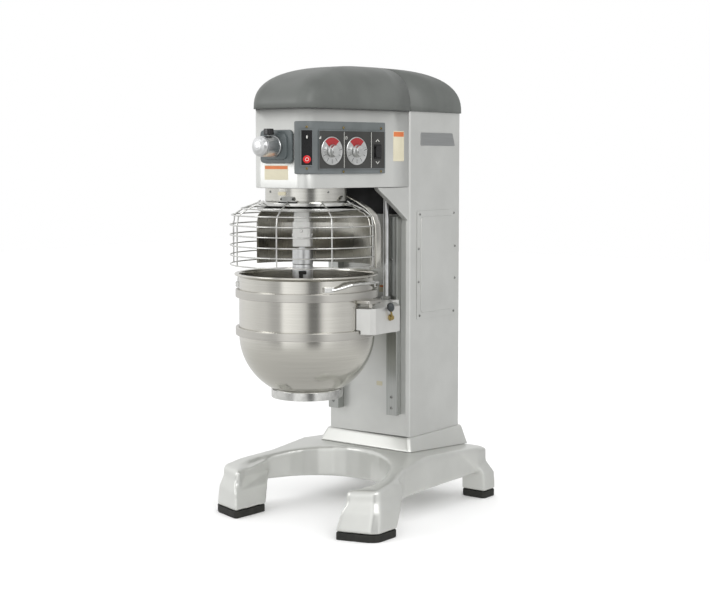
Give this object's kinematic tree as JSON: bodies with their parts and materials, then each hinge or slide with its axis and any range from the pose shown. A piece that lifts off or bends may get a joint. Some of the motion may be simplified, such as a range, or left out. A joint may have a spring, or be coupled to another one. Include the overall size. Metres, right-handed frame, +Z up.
{
  "type": "commercial stand mixer",
  "caption": "Floor-standing planetary mixer with power bowl lift, wire bowl guard, attachment hub and side controls on a four-foot cast base.",
  "frame": {"origin": "on the floor, under the middle of the machine's overall box", "axes": "+Z up, -Y is the front with the bowl and the attachment hub, +X is the side with the controls and the access panel"},
  "size_m": [0.832, 1.1404, 1.8145],
  "materials": {
    "silver_paint": "fine silver-grey machine enamel, satin",
    "pale_paint": "pale grey enamel over a casting, satin",
    "grey_plastic": "moulded dark grey plastic, fine texture",
    "black_plastic": "moulded black plastic, satin",
    "red_plastic": "moulded red plastic, gloss",
    "stainless": "brushed stainless steel",
    "polished_steel": "turned and polished steel",
    "machined_steel": "machined steel, lightly oiled",
    "dark_iron": "dark primed iron and sheet",
    "rubber": "moulded black rubber"
  },
  "bodies": {
    "machine": {"base_casting": "silver_paint", "foot_pad_front_left": "rubber", "foot_pad_front_right": "rubber", "foot_pad_rear_left": "rubber", "foot_pad_rear_right": "rubber", "pedestal_collar": "silver_paint", "column_shell": "silver_paint", "access_panel": "silver_paint", "guide_rail_left": "polished_steel", "guide_rail_right": "polished_steel", "head_casing": "silver_paint", "head_floor": "dark_iron", "haunch_left": "silver_paint", "haunch_right": "silver_paint", "top_cover_front": "grey_plastic", "top_cover_rear": "grey_plastic", "hub_plate": "grey_plastic", "hub_barrel": "polished_steel", "hub_cap": "polished_steel", "control_bezel": "grey_plastic", "start_stop_panel": "black_plastic", "dial_plate": "black_plastic", "speed_dial": "polished_steel", "timer_dial": "polished_steel", "neck_housing": "silver_paint", "guard_track": "silver_paint", "ring_gear": "machined_steel", "drive_motor": "dark_iron", "drive_belt": "rubber", "lift_motor": "dark_iron", "splash_shield": "stainless"},
    "lift": {"bowl_yoke": "pale_paint", "lift_nut": "machined_steel", "lift_rod": "polished_steel", "bowl": "stainless", "bowl_band_upper": "stainless", "bowl_band_lower": "stainless", "bowl_foot_ring": "stainless", "bowl_handle_left": "stainless", "bowl_handle_right": "stainless"},
    "lock_right": {"bowl_lock_right": "polished_steel"},
    "lock_left": {"bowl_lock_left": "polished_steel"},
    "lift_drive": {"lift_screw": "machined_steel"},
    "planetary": {"planetary_head": "polished_steel", "planetary_shaft": "machined_steel", "driven_pulley": "machined_steel"},
    "agitator": {"agitator_shaft": "polished_steel", "planet_pinion": "machined_steel"},
    "rotor": {"motor_shaft": "machined_steel", "motor_pulley": "machined_steel"},
    "hub_drive": {"hub_drive_shaft": "machined_steel"},
    "guard": {"wire_cage": "stainless", "guard_arm": "stainless"},
    "speed_control": {"speed_knob": "polished_steel"},
    "timer_control": {"timer_knob": "polished_steel"},
    "start_control": {"start_button": "pale_paint"},
    "stop_control": {"stop_button": "red_plastic"},
    "rocker_control": {"bowl_rocker": "black_plastic"},
    "hub_clamp": {"hub_thumb_screw": "black_plastic"}
  },
  "joints": [
    {"name": "bowl_lift", "type": "slide", "parent": "machine", "child": "lift", "axis": [0, 0, 1], "range_m": [-0.25, 0]},
    {"name": "lift_screw_turn", "type": "hinge", "parent": "machine", "child": "lift_drive", "pos_m": [-0.095, 0.1902, 0.71], "axis": [0, 0, 1], "range_deg": [-9001, 1]},
    {"name": "lock_right_turn", "type": "hinge", "parent": "lift", "child": "lock_right", "pos_m": [0.3334, -0.1698, 0.832], "axis": [1, 0, 0], "range_deg": [0, 95]},
    {"name": "lock_left_turn", "type": "hinge", "parent": "lift", "child": "lock_left", "pos_m": [-0.3334, -0.1698, 0.832], "axis": [1, 0, 0], "range_deg": [0, 95]},
    {"name": "planetary_spin", "type": "hinge", "parent": "machine", "child": "planetary", "pos_m": [0, -0.2678, 1.29], "axis": [0, 0, 1], "continuous": true},
    {"name": "agitator_spin", "type": "hinge", "parent": "planetary", "child": "agitator", "pos_m": [0.0475, -0.35007, 1.11], "axis": [0, 0, 1], "continuous": true},
    {"name": "motor_spin", "type": "hinge", "parent": "machine", "child": "rotor", "pos_m": [0, 0.3002, 1.37], "axis": [0, 0, 1], "continuous": true},
    {"name": "hub_spin", "type": "hinge", "parent": "machine", "child": "hub_drive", "pos_m": [0, -0.4398, 1.488], "axis": [0, -1, 0], "continuous": true},
    {"name": "guard_swing", "type": "hinge", "parent": "machine", "child": "guard", "pos_m": [0, -0.2678, 1.16], "axis": [0, 0, 1], "range_deg": [-100, 0]},
    {"name": "speed_turn", "type": "hinge", "parent": "machine", "child": "speed_control", "pos_m": [0.17533, -0.3232, 1.4715], "axis": [0.9855, -0.1699, 0], "range_deg": [-135, 135]},
    {"name": "timer_turn", "type": "hinge", "parent": "machine", "child": "timer_control", "pos_m": [0.19722, -0.1962, 1.4715], "axis": [0.9855, -0.1699, 0], "range_deg": [-135, 135]},
    {"name": "start_press", "type": "slide", "parent": "machine", "child": "start_control", "axis": [-0.7071, 0.7071, 0], "range_m": [0, 0.003], "stiffness_N_per_m": 300},
    {"name": "stop_press", "type": "slide", "parent": "machine", "child": "stop_control", "axis": [-0.7071, 0.7071, 0], "range_m": [0, 0.004], "stiffness_N_per_m": 400},
    {"name": "rocker_press", "type": "hinge", "parent": "machine", "child": "rocker_control", "pos_m": [0.20975, -0.08406, 1.4695], "axis": [-0.1699, -0.9855, 0], "range_deg": [-6, 6], "stiffness_Nm_per_rad": 1},
    {"name": "hub_clamp_turn", "type": "hinge", "parent": "machine", "child": "hub_clamp", "pos_m": [0, -0.4918, 1.55], "axis": [0, 0, 1], "range_deg": [0, 720]}
  ],
  "couplings": [
    {"joint": "lift_screw_turn", "follows": "bowl_lift", "rad_per_m": 628.32},
    {"joint": "agitator_spin", "follows": "planetary_spin", "ratio": -4.1667},
    {"joint": "motor_spin", "follows": "planetary_spin", "ratio": 2.5},
    {"joint": "hub_spin", "follows": "planetary_spin", "ratio": 1.125}
  ]
}
